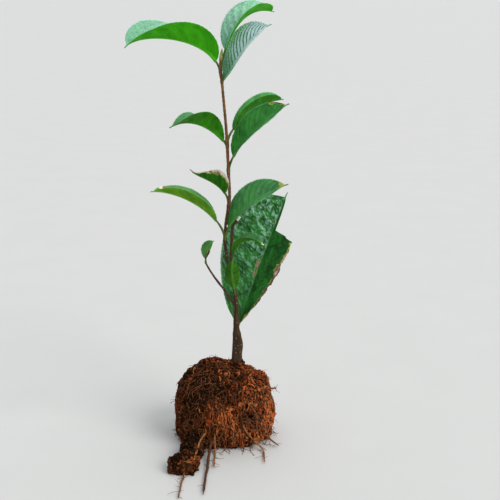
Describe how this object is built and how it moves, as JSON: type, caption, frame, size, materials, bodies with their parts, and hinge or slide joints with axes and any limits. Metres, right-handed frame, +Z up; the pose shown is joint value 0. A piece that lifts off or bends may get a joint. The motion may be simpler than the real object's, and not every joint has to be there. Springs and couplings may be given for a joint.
{
  "type": "golden camellia seedling on its root ball",
  "caption": "Young golden camellia with an upright stem, glossy drooping leaves and a bare root ball of red-brown soil with loose roots in front.",
  "frame": {"origin": "middle of the root ball's flat underside", "axes": "+Z up along the stem, +X to the right and +Y away from someone looking at the plant's front"},
  "size_m": [0.1079, 0.1259, 0.295],
  "materials": {
    "bark": "thin brown bark with pale spots",
    "red_bark": "thin dark red bark",
    "bud": "pale scales",
    "leaf": "glossy dark green above, plain yellow-green below",
    "soil": "crumbly damp red-brown soil",
    "root": "thin tan and dark red roots"
  },
  "bodies": {
    "root": {"stem": "bark", "cut_shoot": "red_bark", "left_twig": "red_bark", "terminal_bud": "bud", "leaf_top_left": "leaf", "leaf_top_right_back": "leaf", "leaf_top_right_front": "leaf", "leaf_upper_left": "leaf", "leaf_upper_right_back": "leaf", "leaf_upper_right_front": "leaf", "leaf_curled_left": "leaf", "leaf_low_left": "leaf", "leaf_low_right": "leaf", "leaf_small_right": "leaf", "leaf_small_front": "leaf", "leaf_large_scorched": "leaf", "leaf_small_left": "leaf", "root_front_gold": "root", "root_front_middle": "root", "root_front_dark": "root", "root_from_clod": "root", "root_right_gold": "root", "root_right_side": "root", "root_right_upper": "root", "root_right_corner": "root", "root_right_stub": "root", "root_ball": "soil", "soil_clod": "soil"}
  },
  "joints": []
}
